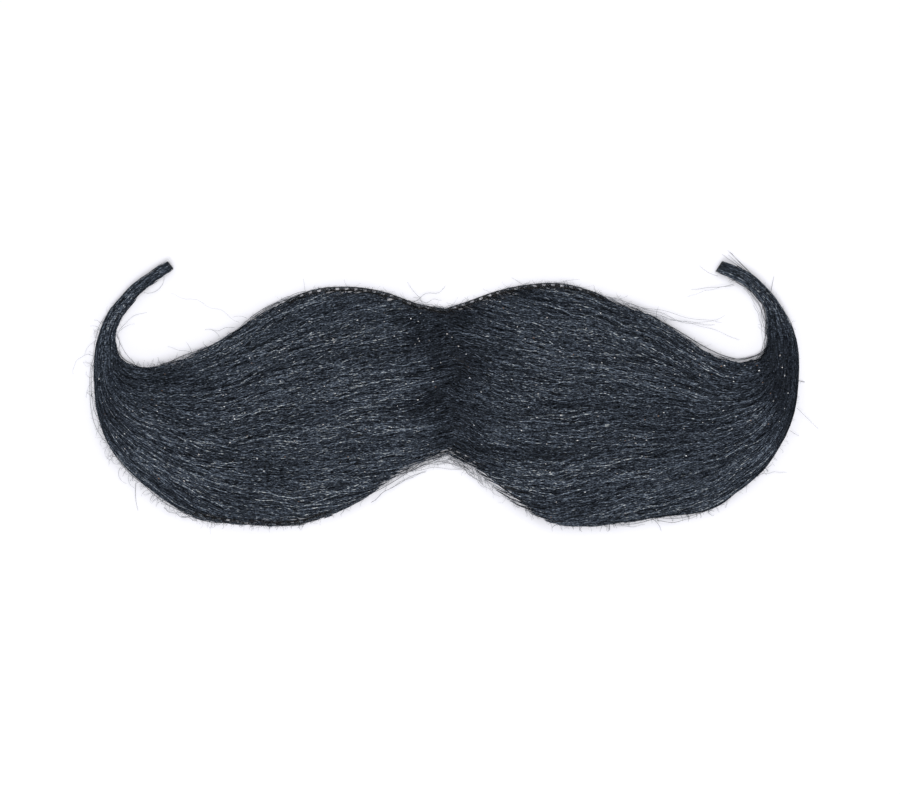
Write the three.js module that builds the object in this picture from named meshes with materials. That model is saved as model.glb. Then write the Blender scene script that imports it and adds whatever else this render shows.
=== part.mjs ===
// A stage moustache of combed synthetic hair on a black net, lying on its back.
// Millimetres. X runs across the face, Y up it and Z out of it. The origin is the middle
// of the parting on the back of the net, which is the face that is stuck to the lip.
import * as THREE from "three";

// Sizes of the whole moustache
const WING_REACH = 70; // from the parting to the outermost point of a curl
const CURL_RISE = 24.2; // from the middle of the parting up to the tip of a curl
const LOBE_DEPTH = 47.8; // the tallest section of a wing, top edge to bottom edge
const CURL_WIDTH = 2.8; // a curl's flat width along its free length

// Hair
const HAIR_THICKNESS = 4.6; // at the fullest part of a lobe, above the net
const EDGE_THICKNESS = 1.5; // where the hair was cut along the outline
const CURL_THICKNESS = 1.8; // a curl is pressed flat while its glue dries
const CROWN_POWER = 2.6; // how flat the top of a section is before it falls to its edges
const LOCK_COUNT = 12; // locks side by side in the combed flow of one wing
const LOCK_RELIEF = 0.9; // how deep the valley between two locks is
const LOCK_SWAY = 0.35; // how far a lock wanders sideways, as a share of its width
const BUNDLE_COUNT = 3; // glued bundles side by side in a curl
const BUNDLE_RELIEF = 0.3;

// Net backing
const NET_THICKNESS = 1;
const NET_INSET = 1.2; // how far the net stops short of the hair where the hair hides it
const RIM_WIDTH = 1.1; // how far the net stands out of the hair where it shows
const WINDOW_PITCH = 1.85; // from one opening of the rim to the next
const WINDOW_LENGTH = 1.05;
const WINDOW_HEIGHT = 0.45;

const CLEARANCE = 0.3; // between two neighbouring pieces

// How finely the hair is lofted
const STEPS_PER_ROW = 2;
const WING_COLUMNS = 48;
const CURL_COLUMNS = 12;

// Sections across a wing, from the parting to the foot of the curl. out is a share of
// WING_REACH and up a share of CURL_RISE for the middle of the section, depth is a share of
// LOBE_DEPTH, and lean is how many degrees its top tips away from the parting.
const LEFT_WING = [
  { out: 0, up: 0, depth: 0.61, lean: 0 },
  { out: 0.076, up: -0.012, depth: 0.664, lean: 1 },
  { out: 0.166, up: -0.037, depth: 0.788, lean: 2 },
  { out: 0.255, up: -0.092, depth: 0.887, lean: 3 },
  { out: 0.35, up: -0.165, depth: 0.94, lean: 4 },
  { out: 0.435, up: -0.254, depth: 0.934, lean: 4 },
  { out: 0.518, up: -0.32, depth: 0.88, lean: 3 },
  { out: 0.602, up: -0.38, depth: 0.797, lean: 1 },
  { out: 0.681, up: -0.417, depth: 0.722, lean: -2 },
  { out: 0.756, up: -0.404, depth: 0.622, lean: -5 },
  { out: 0.822, up: -0.351, depth: 0.519, lean: -9 },
  { out: 0.878, up: -0.285, depth: 0.421, lean: -14 },
  { out: 0.925, up: -0.179, depth: 0.334, lean: -19 },
  { out: 0.956, up: -0.032, depth: 0.244, lean: -24 },
  { out: 0.967, up: 0.146, depth: 0.159, lean: -37 },
];
const RIGHT_WING = [
  { out: 0, up: 0, depth: 0.61, lean: 0 },
  { out: 0.068, up: -0.016, depth: 0.693, lean: 0 },
  { out: 0.149, up: -0.067, depth: 0.832, lean: 1 },
  { out: 0.234, up: -0.13, depth: 0.944, lean: 1 },
  { out: 0.317, up: -0.176, depth: 1, lean: 1 },
  { out: 0.408, up: -0.213, depth: 0.98, lean: 0 },
  { out: 0.496, up: -0.251, depth: 0.916, lean: -1 },
  { out: 0.585, up: -0.281, depth: 0.843, lean: -1 },
  { out: 0.669, up: -0.329, depth: 0.763, lean: -4 },
  { out: 0.745, up: -0.366, depth: 0.664, lean: -6 },
  { out: 0.811, up: -0.339, depth: 0.547, lean: -9 },
  { out: 0.869, up: -0.283, depth: 0.452, lean: -12 },
  { out: 0.915, up: -0.164, depth: 0.371, lean: -16 },
  { out: 0.945, up: -0.014, depth: 0.298, lean: -23 },
  { out: 0.956, up: 0.181, depth: 0.199, lean: -41 },
];

// Sections across a curl, from just above its foot to its square-cut tip. width is a share
// of CURL_WIDTH and thick a share of CURL_THICKNESS.
const LEFT_CURL = [
  { out: 0.966, up: 0.325, width: 1.49, lean: -67, thick: 1.25 },
  { out: 0.957, up: 0.44, width: 1.16, lean: -88, thick: 1.1 },
  { out: 0.939, up: 0.551, width: 1.06, lean: -112, thick: 1.05 },
  { out: 0.914, up: 0.645, width: 0.98, lean: -131, thick: 1 },
  { out: 0.88, up: 0.758, width: 0.9, lean: -135, thick: 1 },
  { out: 0.836, up: 0.857, width: 0.85, lean: -138, thick: 1 },
  { out: 0.782, up: 0.961, width: 0.86, lean: -142, thick: 0.95 },
];
const RIGHT_CURL = [
  { out: 0.953, up: 0.368, width: 2.44, lean: -63, thick: 1.25 },
  { out: 0.942, up: 0.514, width: 1.82, lean: -76, thick: 1.1 },
  { out: 0.923, up: 0.64, width: 1.35, lean: -88, thick: 1.05 },
  { out: 0.888, up: 0.762, width: 1.08, lean: -113, thick: 1 },
  { out: 0.852, up: 0.848, width: 1.1, lean: -137, thick: 1 },
  { out: 0.814, up: 0.904, width: 1.07, lean: -142, thick: 1 },
  { out: 0.776, up: 0.949, width: 1.07, lean: -147, thick: 0.95 },
];

// What both wings share, row for row with the wing tables. thick is a share of
// HAIR_THICKNESS. combAbove and combBelow say how far the combed flow of the hair spreads
// past the top and bottom edge, as shares of the section, before the edge cuts it off.
const HAIR_ROWS = [
  { thick: 0.62, combAbove: 0.35, combBelow: 0.72 },
  { thick: 0.74, combAbove: 0.25, combBelow: 0.67 },
  { thick: 0.88, combAbove: 0.11, combBelow: 0.47 },
  { thick: 0.96, combAbove: 0.04, combBelow: 0.33 },
  { thick: 1, combAbove: 0, combBelow: 0.25 },
  { thick: 1, combAbove: 0, combBelow: 0.19 },
  { thick: 0.98, combAbove: 0, combBelow: 0.14 },
  { thick: 0.95, combAbove: 0, combBelow: 0.12 },
  { thick: 0.92, combAbove: 0, combBelow: 0.06 },
  { thick: 0.88, combAbove: 0, combBelow: 0.02 },
  { thick: 0.82, combAbove: 0, combBelow: 0 },
  { thick: 0.76, combAbove: 0, combBelow: 0 },
  { thick: 0.7, combAbove: 0, combBelow: 0 },
  { thick: 0.62, combAbove: 0, combBelow: 0 },
  { thick: 0.54, combAbove: 0, combBelow: 0 },
];
const LAST_ROW = HAIR_ROWS.length - 1;
const NET_LAST_ROW = 12; // the net ends here, short of the curl
const DROP_FIRST_ROW = 12.4; // past the net, the hair comes down to the surface

// Where the pierced rim of the net shows past the hair, in rows of the wing tables.
// fade is how many rows the hair takes to cover it again.
const LEFT_RIMS = [
  { edge: "upper", from: 0.2, to: 4.8, fade: 0.8 },
  { edge: "lower", from: 4.3, to: 8.2, fade: 0.8 },
];
const RIGHT_RIMS = [{ edge: "upper", from: 0.2, to: 5.4, fade: 0.8 }];

const wings = {
  left: { side: -1, rows: LEFT_WING, curl: LEFT_CURL, rims: LEFT_RIMS },
  right: { side: 1, rows: RIGHT_WING, curl: RIGHT_CURL, rims: RIGHT_RIMS },
};

const { smoothstep } = THREE.MathUtils;

// A column of a table at a row that may lie between two of its rows, on a smooth curve.
function columnAt(rows, column, row) {
  const last = rows.length - 1;
  const start = Math.min(Math.floor(row), last - 1);
  const share = row - start;
  const value = (i) => rows[THREE.MathUtils.clamp(i, 0, last)][column];
  const before = (value(start + 1) - value(start - 1)) / 2;
  const after = (value(start + 2) - value(start)) / 2;
  const rise = value(start + 1) - value(start);
  return (
    value(start) +
    share * (before + share * (3 * rise - 2 * before - after + share * (before + after - 2 * rise)))
  );
}

// A section as a place, a direction from its bottom edge to its top edge, and half its depth.
function sectionOf(side, out, up, depth, lean) {
  const tip = THREE.MathUtils.degToRad(lean);
  return {
    centre: new THREE.Vector2(side * out * WING_REACH, up * CURL_RISE),
    upwards: new THREE.Vector2(side * Math.sin(tip), Math.cos(tip)),
    half: depth / 2,
  };
}

function wingSection(wing, row) {
  const at = (column) => columnAt(wing.rows, column, row);
  return sectionOf(wing.side, at("out"), at("up"), at("depth") * LOBE_DEPTH, at("lean"));
}

// A point of a section: distance is measured from its middle, positive towards its top edge.
function along(section, distance) {
  return section.centre.clone().addScaledVector(section.upwards, distance);
}

// How much of the rim shows on one edge at one row, from 0 to 1.
function rimShows(wing, edge, row) {
  return wing.rims
    .filter((rim) => rim.edge === edge)
    .reduce((most, rim) => {
      const opens = smoothstep(row, rim.from - rim.fade, rim.from);
      const closes = 1 - smoothstep(row, rim.to, rim.to + rim.fade);
      return Math.max(most, opens * closes);
    }, 0);
}

// Half circles side by side, 1 on top of each and 0 in the valley between two.
function ridges(phase) {
  const across = 2 * (phase - Math.floor(phase)) - 1;
  return Math.sqrt(Math.max(0, 1 - across * across));
}

// The height of the hair over its underside, at a share of the way from the bottom edge.
function hairHeight(share, peak, relief, ridge) {
  const fall = Math.abs(2 * share - 1) ** CROWN_POWER;
  const edge = Math.min(EDGE_THICKNESS, peak);
  return edge + (peak - edge) * (1 - fall) - relief * (1 - ridge) * (1 - fall);
}

// The closed ring of points of one section: its top from the bottom edge to the top edge,
// then the two corners of its underside.
function hairRing(section, bottomTrim, topTrim, underside, columns, heightAt) {
  const low = -section.half + bottomTrim;
  const high = section.half - topTrim;
  const ring = [];
  for (let column = 0; column <= columns; column++) {
    const share = column / columns;
    const place = along(section, low + share * (high - low));
    ring.push(new THREE.Vector3(place.x, place.y, underside + heightAt(share)));
  }
  for (const distance of [high, low]) {
    const place = along(section, distance);
    ring.push(new THREE.Vector3(place.x, place.y, underside));
  }
  return ring;
}

// A closed body through rings of equally many points, with flat ends.
function loftGeometry(rings, side) {
  const around = rings[0].length;
  const faces = [];
  for (let i = 0; i < rings.length - 1; i++) {
    for (let j = 0; j < around; j++) {
      const next = (j + 1) % around;
      const [a, b] = [i * around + j, i * around + next];
      faces.push([a, a + around, b], [b, a + around, b + around]);
    }
  }
  const [first, last] = [rings[0], rings[rings.length - 1]];
  const lastStart = (rings.length - 1) * around;
  for (const face of endFaces(first)) faces.push(face);
  for (const [a, b, c] of endFaces(last)) faces.push([lastStart + a, lastStart + c, lastStart + b]);
  const outward = side > 0 ? faces : faces.map(([a, b, c]) => [a, c, b]);
  return new THREE.BufferGeometry()
    .setFromPoints(rings.flat())
    .setIndex(outward.flat());
}

// Triangles over one ring, each wound as the ring is.
function endFaces(ring) {
  const start = ring[ring.length - 1];
  const flat = ring.map((p) => new THREE.Vector2(Math.hypot(p.x - start.x, p.y - start.y), p.z));
  const turns = THREE.ShapeUtils.isClockWise(flat);
  return THREE.ShapeUtils.triangulateShape(flat, []).map((face) => {
    const [a, b, c] = face.map((i) => flat[i]);
    const faceTurns = THREE.ShapeUtils.isClockWise([a, b, c]);
    return faceTurns === turns ? face : [face[0], face[2], face[1]];
  });
}

// One wing of hair: locks combed from the parting to the foot of the curl, fused into one
// sheet that is cut to the outline.
function hairGeometry(wing) {
  const rings = [];
  const sways = (row) => LOCK_SWAY * Math.sin(row);
  const ringAt = (section, row) => {
    const shared = (column) => columnAt(HAIR_ROWS, column, row);
    const [below, above] = [shared("combBelow"), shared("combAbove")];
    const peak = shared("thick") * HAIR_THICKNESS;
    const overNet = 1 - smoothstep(row, DROP_FIRST_ROW, LAST_ROW);
    return hairRing(
      section,
      RIM_WIDTH * rimShows(wing, "lower", row),
      RIM_WIDTH * rimShows(wing, "upper", row),
      (NET_THICKNESS + CLEARANCE) * overNet,
      WING_COLUMNS,
      (share) => {
        const flow = (below + share) / (below + 1 + above);
        return hairHeight(share, peak, LOCK_RELIEF, ridges(flow * LOCK_COUNT + sways(row)));
      },
    );
  };
  const parting = wingSection(wing, 0);
  parting.centre.x += (wing.side * CLEARANCE) / 2;
  rings.push(ringAt(parting, 0));
  for (let step = 1; step < LAST_ROW * STEPS_PER_ROW; step++) {
    const row = step / STEPS_PER_ROW;
    rings.push(ringAt(wingSection(wing, row), row));
  }
  const foot = wingSection(wing, LAST_ROW);
  foot.centre.addScaledVector(footwards(wing, foot), CLEARANCE);
  rings.push(ringAt(foot, LAST_ROW));
  return loftGeometry(rings, wing.side);
}

// The direction square to a section, back towards the parting along the wing.
function footwards(wing, section) {
  return new THREE.Vector2(-section.upwards.y, section.upwards.x).multiplyScalar(wing.side);
}

// A curl: hair glued into flat bundles, rising from the end of the wing to a square-cut tip.
function curlGeometry(wing) {
  const foot = wing.rows[LAST_ROW];
  const footWidth = (foot.depth * LOBE_DEPTH) / CURL_WIDTH;
  const footThick = (columnAt(HAIR_ROWS, "thick", LAST_ROW) * HAIR_THICKNESS) / CURL_THICKNESS;
  const rows = [{ ...foot, width: footWidth, thick: footThick }, ...wing.curl];
  const rings = [];
  for (let step = 0; step <= (rows.length - 1) * STEPS_PER_ROW; step++) {
    const at = (column) => columnAt(rows, column, step / STEPS_PER_ROW);
    const section = sectionOf(wing.side, at("out"), at("up"), at("width") * CURL_WIDTH, at("lean"));
    const peak = at("thick") * CURL_THICKNESS;
    const heightAt = (share) => hairHeight(share, peak, BUNDLE_RELIEF, ridges(share * BUNDLE_COUNT));
    rings.push(hairRing(section, 0, 0, 0, CURL_COLUMNS, heightAt));
  }
  return loftGeometry(rings, wing.side);
}

// The edge of the net along one edge of a wing, from one row to another.
function netEdge(wing, edge, from, to) {
  const points = [];
  const steps = Math.ceil(Math.abs(to - from) * STEPS_PER_ROW);
  for (let step = 0; step <= steps; step++) {
    const row = from + ((to - from) * step) / steps;
    const section = wingSection(wing, row);
    const inset = NET_INSET * (1 - rimShows(wing, edge, row));
    const reach = section.half - inset;
    points.push(along(section, edge === "upper" ? reach : -reach));
  }
  return points;
}

// One opening of the net's rim: a flat hexagon, long along the rim.
function windowPath(centre, direction) {
  const square = new THREE.Vector2(-direction.y, direction.x);
  const [half, shoulder, rise] = [WINDOW_LENGTH / 2, WINDOW_LENGTH / 4, WINDOW_HEIGHT / 2];
  const corners = [
    [-half, 0],
    [-shoulder, -rise],
    [shoulder, -rise],
    [half, 0],
    [shoulder, rise],
    [-shoulder, rise],
  ];
  return new THREE.Path(
    corners.map(([forward, sideways]) =>
      centre.clone().addScaledVector(direction, forward).addScaledVector(square, sideways),
    ),
  );
}

// The openings along one stretch of rim, halfway between the hair and the net's edge.
function rimWindows(wing, rim) {
  const curve = new THREE.SplineCurve(netEdge(wing, rim.edge, rim.from, rim.to));
  const count = Math.floor(curve.getLength() / WINDOW_PITCH);
  const inwards = wing.side * (rim.edge === "upper" ? -1 : 1);
  const windows = [];
  for (let i = 0; i < count; i++) {
    const share = (i + 0.5) / count;
    const direction = curve.getTangentAt(share);
    const square = new THREE.Vector2(-direction.y, direction.x).multiplyScalar(inwards);
    const centre = curve.getPointAt(share).addScaledVector(square, RIM_WIDTH / 2);
    windows.push(windowPath(centre, direction));
  }
  return windows;
}

// The net: one flat piece under both wings, pierced along the rim that shows.
function netGeometry() {
  const { left, right } = wings;
  const outline = new THREE.Shape([
    ...netEdge(left, "upper", NET_LAST_ROW, 0),
    ...netEdge(right, "upper", 0, NET_LAST_ROW).slice(1),
    ...netEdge(right, "lower", NET_LAST_ROW, 0),
    ...netEdge(left, "lower", 0, NET_LAST_ROW).slice(1),
  ]);
  for (const wing of [left, right]) {
    for (const rim of wing.rims) outline.holes.push(...rimWindows(wing, rim));
  }
  return new THREE.ExtrudeGeometry(outline, { depth: NET_THICKNESS, bevelEnabled: false });
}

const combedHair = new THREE.MeshStandardMaterial({ color: 0x343941, roughness: 0.55, metalness: 0 });
const gluedHair = new THREE.MeshStandardMaterial({ color: 0x2b2f36, roughness: 0.45, metalness: 0 });
const blackNet = new THREE.MeshStandardMaterial({ color: 0x17181b, roughness: 0.8, metalness: 0 });

function namedMesh(name, geometry, material) {
  const mesh = new THREE.Mesh(geometry, material);
  mesh.name = name;
  return mesh;
}

const moustache = new THREE.Group();
moustache.add(namedMesh("net_backing", netGeometry(), blackNet));
for (const [name, wing] of Object.entries(wings)) {
  moustache.add(namedMesh(`${name}_hair`, hairGeometry(wing), combedHair));
  moustache.add(namedMesh(`${name}_curl`, curlGeometry(wing), gluedHair));
}

export default moustache;
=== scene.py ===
"""The looks of a stage moustache: combed synthetic hair on a black net, lying on its back.

The hair is thousands of crimped strands over a dark core, laid along the same sections as
the solids of the frame, and the net is knotted from thread. Sizes are in millimetres until
a mesh is made of them.
"""

import math

import bpy
import numpy as np
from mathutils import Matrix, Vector


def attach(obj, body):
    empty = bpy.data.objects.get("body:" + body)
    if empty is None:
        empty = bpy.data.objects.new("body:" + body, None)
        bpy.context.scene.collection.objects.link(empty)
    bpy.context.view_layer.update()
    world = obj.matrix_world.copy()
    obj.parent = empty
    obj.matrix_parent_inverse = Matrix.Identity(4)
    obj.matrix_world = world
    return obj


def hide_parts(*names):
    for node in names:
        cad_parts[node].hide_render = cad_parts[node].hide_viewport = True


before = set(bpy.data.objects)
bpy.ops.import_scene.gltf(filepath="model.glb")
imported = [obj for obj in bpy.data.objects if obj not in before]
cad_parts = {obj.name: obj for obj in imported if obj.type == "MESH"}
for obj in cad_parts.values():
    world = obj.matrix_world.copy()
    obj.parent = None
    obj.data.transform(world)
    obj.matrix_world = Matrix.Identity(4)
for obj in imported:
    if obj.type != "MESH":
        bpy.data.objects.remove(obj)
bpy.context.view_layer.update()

MM = 0.001

# Sizes that the solids are built from
WING_REACH = 70.0
CURL_RISE = 24.2
LOBE_DEPTH = 47.8
CURL_WIDTH = 2.8
HAIR_THICKNESS = 4.6
EDGE_THICKNESS = 1.5
CURL_THICKNESS = 1.8
CROWN_POWER = 2.6
LOCK_COUNT = 12
LOCK_SWAY = 0.35
NET_THICKNESS = 1.0
NET_INSET = 1.2
RIM_WIDTH = 1.1
WINDOW_PITCH = 1.85
CLEARANCE = 0.3

# Sections from the parting to the foot of each curl: out, up, depth, lean
LEFT_WING = [
    (0, 0, 0.61, 0),
    (0.076, -0.012, 0.664, 1),
    (0.166, -0.037, 0.788, 2),
    (0.255, -0.092, 0.887, 3),
    (0.35, -0.165, 0.94, 4),
    (0.435, -0.254, 0.934, 4),
    (0.518, -0.32, 0.88, 3),
    (0.602, -0.38, 0.797, 1),
    (0.681, -0.417, 0.722, -2),
    (0.756, -0.404, 0.622, -5),
    (0.822, -0.351, 0.519, -9),
    (0.878, -0.285, 0.421, -14),
    (0.925, -0.179, 0.334, -19),
    (0.956, -0.032, 0.244, -24),
    (0.967, 0.146, 0.159, -37),
]
RIGHT_WING = [
    (0, 0, 0.61, 0),
    (0.068, -0.016, 0.693, 0),
    (0.149, -0.067, 0.832, 1),
    (0.234, -0.13, 0.944, 1),
    (0.317, -0.176, 1, 1),
    (0.408, -0.213, 0.98, 0),
    (0.496, -0.251, 0.916, -1),
    (0.585, -0.281, 0.843, -1),
    (0.669, -0.329, 0.763, -4),
    (0.745, -0.366, 0.664, -6),
    (0.811, -0.339, 0.547, -9),
    (0.869, -0.283, 0.452, -12),
    (0.915, -0.164, 0.371, -16),
    (0.945, -0.014, 0.298, -23),
    (0.956, 0.181, 0.199, -41),
]
# Sections of each curl: out, up, width, lean, thick
LEFT_CURL = [
    (0.966, 0.325, 1.49, -67, 1.25),
    (0.957, 0.44, 1.16, -88, 1.1),
    (0.939, 0.551, 1.06, -112, 1.05),
    (0.914, 0.645, 0.98, -131, 1),
    (0.88, 0.758, 0.9, -135, 1),
    (0.836, 0.857, 0.85, -138, 1),
    (0.782, 0.961, 0.86, -142, 0.95),
]
RIGHT_CURL = [
    (0.953, 0.368, 2.44, -63, 1.25),
    (0.942, 0.514, 1.82, -76, 1.1),
    (0.923, 0.64, 1.35, -88, 1.05),
    (0.888, 0.762, 1.08, -113, 1),
    (0.852, 0.848, 1.1, -137, 1),
    (0.814, 0.904, 1.07, -142, 1),
    (0.776, 0.949, 1.07, -147, 0.95),
]
# What both wings share: thick, combAbove, combBelow
HAIR_ROWS = [
    (0.62, 0.35, 0.72),
    (0.74, 0.25, 0.67),
    (0.88, 0.11, 0.47),
    (0.96, 0.04, 0.33),
    (1, 0, 0.25),
    (1, 0, 0.19),
    (0.98, 0, 0.14),
    (0.95, 0, 0.12),
    (0.92, 0, 0.06),
    (0.88, 0, 0.02),
    (0.82, 0, 0),
    (0.76, 0, 0),
    (0.7, 0, 0),
    (0.62, 0, 0),
    (0.54, 0, 0),
]
FOOT_ROW = 14.0
TIP_ROW = 21.0
NET_LAST_ROW = 12.0
DROP_FIRST_ROW = 12.4

# Where the net's rim shows past the hair: edge (1 is the top one), from row, to row, fade
LEFT_RIMS = [(1, 0.2, 4.8, 0.8), (0, 4.3, 8.2, 0.8)]
RIGHT_RIMS = [(1, 0.2, 5.4, 0.8)]

# Stretches of rim that fewer strands lie over: edge, from row, to row, share of the strands
LEFT_BARE = [(1, 3.1, 4.9, 0.3), (0, 4.7, 7.5, 0.3)]
RIGHT_BARE = [(1, 3.2, 4.7, 0.6)]
RIM_COVER = 0.85

# Over how many mm the hair thins out towards an edge: edge, from row, to row, fade, mm
LEFT_THIN = [
    (1, 4.8, 7.6, 0.8, 1.2),
    (1, 8.2, 9.6, 0.4, 1.4),
    (1, 11.5, 13.5, 0.4, 0.1),
    (0, 0.0, 1.8, 0.9, 2.6),
    (0, 2.6, 4.2, 0.5, -0.1),
    (0, 8.4, 13.6, 0.8, 0.1),
]
RIGHT_THIN = [
    (1, 5.4, 9.2, 0.8, 1.1),
    (1, 10.0, 11.8, 0.4, -0.2),
    (1, 12.5, 16.5, 0.6, 0.9),
    (0, 0.0, 2.2, 1.2, 4.2),
    (0, 4.2, 9.4, 0.6, -0.15),
    (0, 10.0, 15.8, 0.5, -0.35),
]
THIN = 0.6
CURL_THIN = 0.2


def smoothstep(x, low, high):
    t = np.clip((x - low) / (high - low), 0, 1)
    return t * t * (3 - 2 * t)


def spline(values, row):
    """Values at rows that may lie between two, on a smooth curve through them all."""
    last = len(values) - 1
    start = np.clip(np.floor(row).astype(int), 0, last - 1)
    share = row - start

    def value(i):
        return values[np.clip(i, 0, last)]

    before = (value(start + 1) - value(start - 1)) / 2
    after = (value(start + 2) - value(start)) / 2
    rise = value(start + 1) - value(start)
    bend = share * (before + after - 2 * rise)
    return value(start) + share * (before + share * (3 * rise - 2 * before - after + bend))


def wing_of(name, side, wing_rows, curl_rows, rims, bare, thin, foot_shade):
    """The sections of a wing and its curl as one run, in mm and degrees."""
    wing_rows, curl_rows = np.array(wing_rows, float), np.array(curl_rows, float)
    shared = np.array(HAIR_ROWS, float)
    rows = np.arange(len(wing_rows))
    net = NET_THICKNESS + CLEARANCE
    zeros = np.zeros(len(curl_rows))
    wing = {
        "name": name,
        "side": side,
        "rims": rims,
        "bare": bare,
        "thin": thin,
        "foot_shade": foot_shade,
        "out": np.concatenate([wing_rows[:, 0], curl_rows[:, 0]]) * WING_REACH,
        "up": np.concatenate([wing_rows[:, 1], curl_rows[:, 1]]) * CURL_RISE,
        "depth": np.concatenate([wing_rows[:, 2] * LOBE_DEPTH, curl_rows[:, 2] * CURL_WIDTH]),
        "lean": np.concatenate([wing_rows[:, 3], curl_rows[:, 3]]),
        "thick": np.concatenate([shared[:, 0] * HAIR_THICKNESS, curl_rows[:, 4] * CURL_THICKNESS]),
        "above": np.concatenate([shared[:, 1], zeros]),
        "below": np.concatenate([shared[:, 2], zeros]),
        "under": np.concatenate([net * (1 - smoothstep(rows, DROP_FIRST_ROW, FOOT_ROW)), zeros]),
    }
    fine = np.linspace(0, TIP_ROW, 400)
    x, y = place(wing, fine, 0.5)
    steps = np.hypot(np.diff(x), np.diff(y))
    wing["fine_rows"] = fine
    wing["fine_lengths"] = np.concatenate([[0], np.cumsum(steps)])
    return wing


def place(wing, row, across):
    """x and y of points that lie a share of the way from the bottom edge to the top edge."""
    lean = np.radians(spline(wing["lean"], row))
    off = (across - 0.5) * spline(wing["depth"], row)
    x = wing["side"] * (spline(wing["out"], row) + np.sin(lean) * off)
    y = spline(wing["up"], row) + np.cos(lean) * off
    return x, y


def within(row, first, last, fade):
    """1 between two rows, and down to 0 over fade rows beyond each."""
    return smoothstep(row, first - fade, first) * (1 - smoothstep(row, last, last + fade))


def rim_shows(wing, edge, row):
    """How much of the net's rim shows on one edge, from 0 to 1."""
    most = np.zeros(np.shape(row))
    for of_edge, first, last, fade in wing["rims"]:
        if of_edge == edge:
            most = np.maximum(most, within(row, first, last, fade))
    return most


def thins(wing, edge, row):
    """Over how many mm the hair thins out towards one edge."""
    thin = THIN - (THIN - CURL_THIN) * smoothstep(row, FOOT_ROW - 1, FOOT_ROW + 1)
    for of_edge, first, last, fade, width in wing["thin"]:
        if of_edge == edge:
            thin = thin + (width - thin) * within(row, first, last, fade)
    return thin


def rim_cover(wing, row, across):
    """The share of the strands near a place that lie over the rim there."""
    cover = np.full(np.shape(row), RIM_COVER)
    for edge, first, last, share in wing["bare"]:
        near = (row > first) & (row < last) & ((across > 0.5) == (edge == 1))
        cover = np.where(near, share, cover)
    return cover


def hugging(wing, row, across):
    """Bends lines that would leave the hair over its bottom edge until they run beside it."""
    past = PAST_EDGE / spline(wing["depth"], row)
    return HUG * np.logaddexp(0, (across + past) / HUG) - past


def unhugged(wing, row, across):
    past = PAST_EDGE / spline(wing["depth"], row)
    return HUG * np.log(np.expm1(np.maximum(across + past, HUG / 50) / HUG)) - past


def across_of(wing, row, flow):
    """Where a line of combed hair crosses a section, as a share from its bottom edge."""
    below, above = spline(wing["below"], row), spline(wing["above"], row)
    return flow * (below + 1 + above) - below


def flow_of(wing, row, across):
    below, above = spline(wing["below"], row), spline(wing["above"], row)
    return (across + below) / (below + 1 + above)


def to_edge(wing, row, across, short=0.0):
    """How far inside the hair's cut edge a point is, in mm, or inside the end of a short hair."""
    depth = spline(wing["depth"], row)
    low = across * depth - RIM_WIDTH * rim_shows(wing, 0, row) - short * thins(wing, 0, row)
    high = (1 - across) * depth - RIM_WIDTH * rim_shows(wing, 1, row) - short * thins(wing, 1, row)
    return np.minimum(low, high)


def ridges(phase):
    """Half circles side by side, 1 on top of each and 0 in the valley between two."""
    side = 2 * (phase - np.floor(phase)) - 1
    return np.sqrt(np.clip(1 - side * side, 0, 1))


def surface(wing, row, across, relief, shoulder):
    """The height of the top of the hair, which falls to the net over the last shoulder mm."""
    peak = spline(wing["thick"], row)
    under = spline(wing["under"], row)
    fall = np.abs(np.clip(2 * across - 1, -1, 1)) ** CROWN_POWER
    edge = np.minimum(EDGE_THICKNESS, peak)
    height = edge + (peak - edge) * (1 - fall)
    flow = flow_of(wing, row, across)
    lock = ridges(flow * LOCK_COUNT + LOCK_SWAY * np.sin(row))
    in_wing = 1 - smoothstep(row, FOOT_ROW - 1, FOOT_ROW + 1)
    height = height - relief * in_wing * (1 - lock) * (1 - fall)
    inside = np.clip(to_edge(wing, row, across) / shoulder, 0, 1)
    roll = np.sqrt(1 - (1 - inside) ** 2)
    base = np.minimum(under, 0.35)
    return base + (under + height - base) * roll


def row_at(wing, length):
    return np.interp(length, wing["fine_lengths"], wing["fine_rows"])


def length_at(wing, row):
    return np.interp(row, wing["fine_rows"], wing["fine_lengths"])


# How near to the bottom edge, as a share of a section, strands turn to run beside it, and how
# many mm past it they may still lie
HUG = 0.05
PAST_EDGE = 0.5

# How wide the hair's rounded edge is, on the wings and on the curls, and how deep the
# valleys between locks are
SHOULDER = 1.8
CURL_SHOULDER = 0.6
RELIEF = 0.6

LEFT = wing_of("left", -1, LEFT_WING, LEFT_CURL, LEFT_RIMS, LEFT_BARE, LEFT_THIN, 0.3)
RIGHT = wing_of("right", 1, RIGHT_WING, RIGHT_CURL, RIGHT_RIMS, RIGHT_BARE, RIGHT_THIN, 0.6)


def linked(name, data):
    """An object of the scene that holds the data."""
    holder = bpy.data.objects.new(name, data)
    bpy.context.scene.collection.objects.link(holder)
    return holder


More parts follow.
